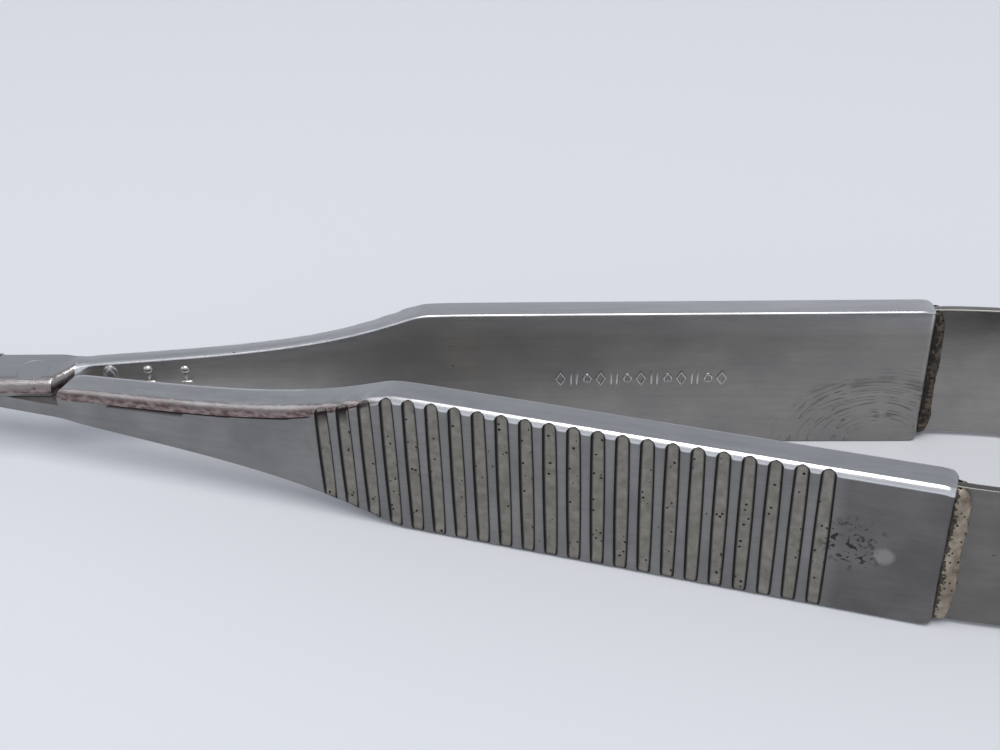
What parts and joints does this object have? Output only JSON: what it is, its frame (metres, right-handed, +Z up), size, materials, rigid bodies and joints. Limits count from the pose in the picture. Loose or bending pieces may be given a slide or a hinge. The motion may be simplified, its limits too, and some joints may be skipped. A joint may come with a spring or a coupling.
{
  "type": "spring-handled precision tweezers",
  "caption": "Spring-handled precision tweezers: two crossed steel levers with ribbed grips, a riveted lap joint, fine jaws and leaf springs joined at a riveted tail.",
  "frame": {"origin": "middle of the bounding box, on the surface the tweezers lie on", "axes": "+X from the jaws to the tail, +Y towards the far lever's grip, +Z up along the pivot"},
  "size_m": [0.1133, 0.0166, 0.009],
  "materials": {
    "satin_steel": "satin ground stainless steel",
    "spring_steel": "rolled and polished strip",
    "rivet_steel": "polished rivet heads",
    "braze": "rough, pitted silver braze"
  },
  "bodies": {
    "far_handle": {"far_lever": "satin_steel", "far_braze_outer": "braze", "far_braze_inner": "braze", "pivot_rivet": "rivet_steel"},
    "near_handle": {"near_lever": "satin_steel", "near_braze_outer": "braze", "near_braze_inner": "braze"},
    "far_spring": {"far_spring_leaf": "spring_steel"},
    "tail": {"tail_spacer": "satin_steel", "tail_rivet_front": "rivet_steel", "tail_rivet_rear": "rivet_steel"},
    "near_spring": {"near_spring_leaf": "spring_steel"}
  },
  "joints": [
    {"name": "pivot", "type": "hinge", "parent": "far_handle", "child": "near_handle", "pos_m": [-0.04276, 0, 0.0045], "axis": [0, 0, 1], "range_deg": [0, 9], "stiffness_Nm_per_rad": 0.1, "springref_deg": -1.72},
    {"name": "far_spring_flex", "type": "hinge", "parent": "far_handle", "child": "far_spring", "pos_m": [0.00847, 0.00768, 0.0045], "axis": [0, 0, 1], "range_deg": [0, 11.3], "deforming": ["far_spring_leaf"]},
    {"name": "tail_flex", "type": "hinge", "parent": "far_spring", "child": "tail", "pos_m": [0.04254, 0.00119, 0.0045], "axis": [0, 0, 1], "range_deg": [-6.8, 0]},
    {"name": "near_spring_flex", "type": "hinge", "parent": "tail", "child": "near_spring", "pos_m": [0.04254, -0.00119, 0.0045], "axis": [0, 0, 1], "range_deg": [-6.8, 0], "deforming": ["near_spring_leaf"]}
  ],
  "couplings": [
    {"joint": "far_spring_flex", "follows": "pivot", "ratio": 1.25},
    {"joint": "tail_flex", "follows": "pivot", "ratio": -0.75},
    {"joint": "near_spring_flex", "follows": "pivot", "ratio": -0.75}
  ]
}
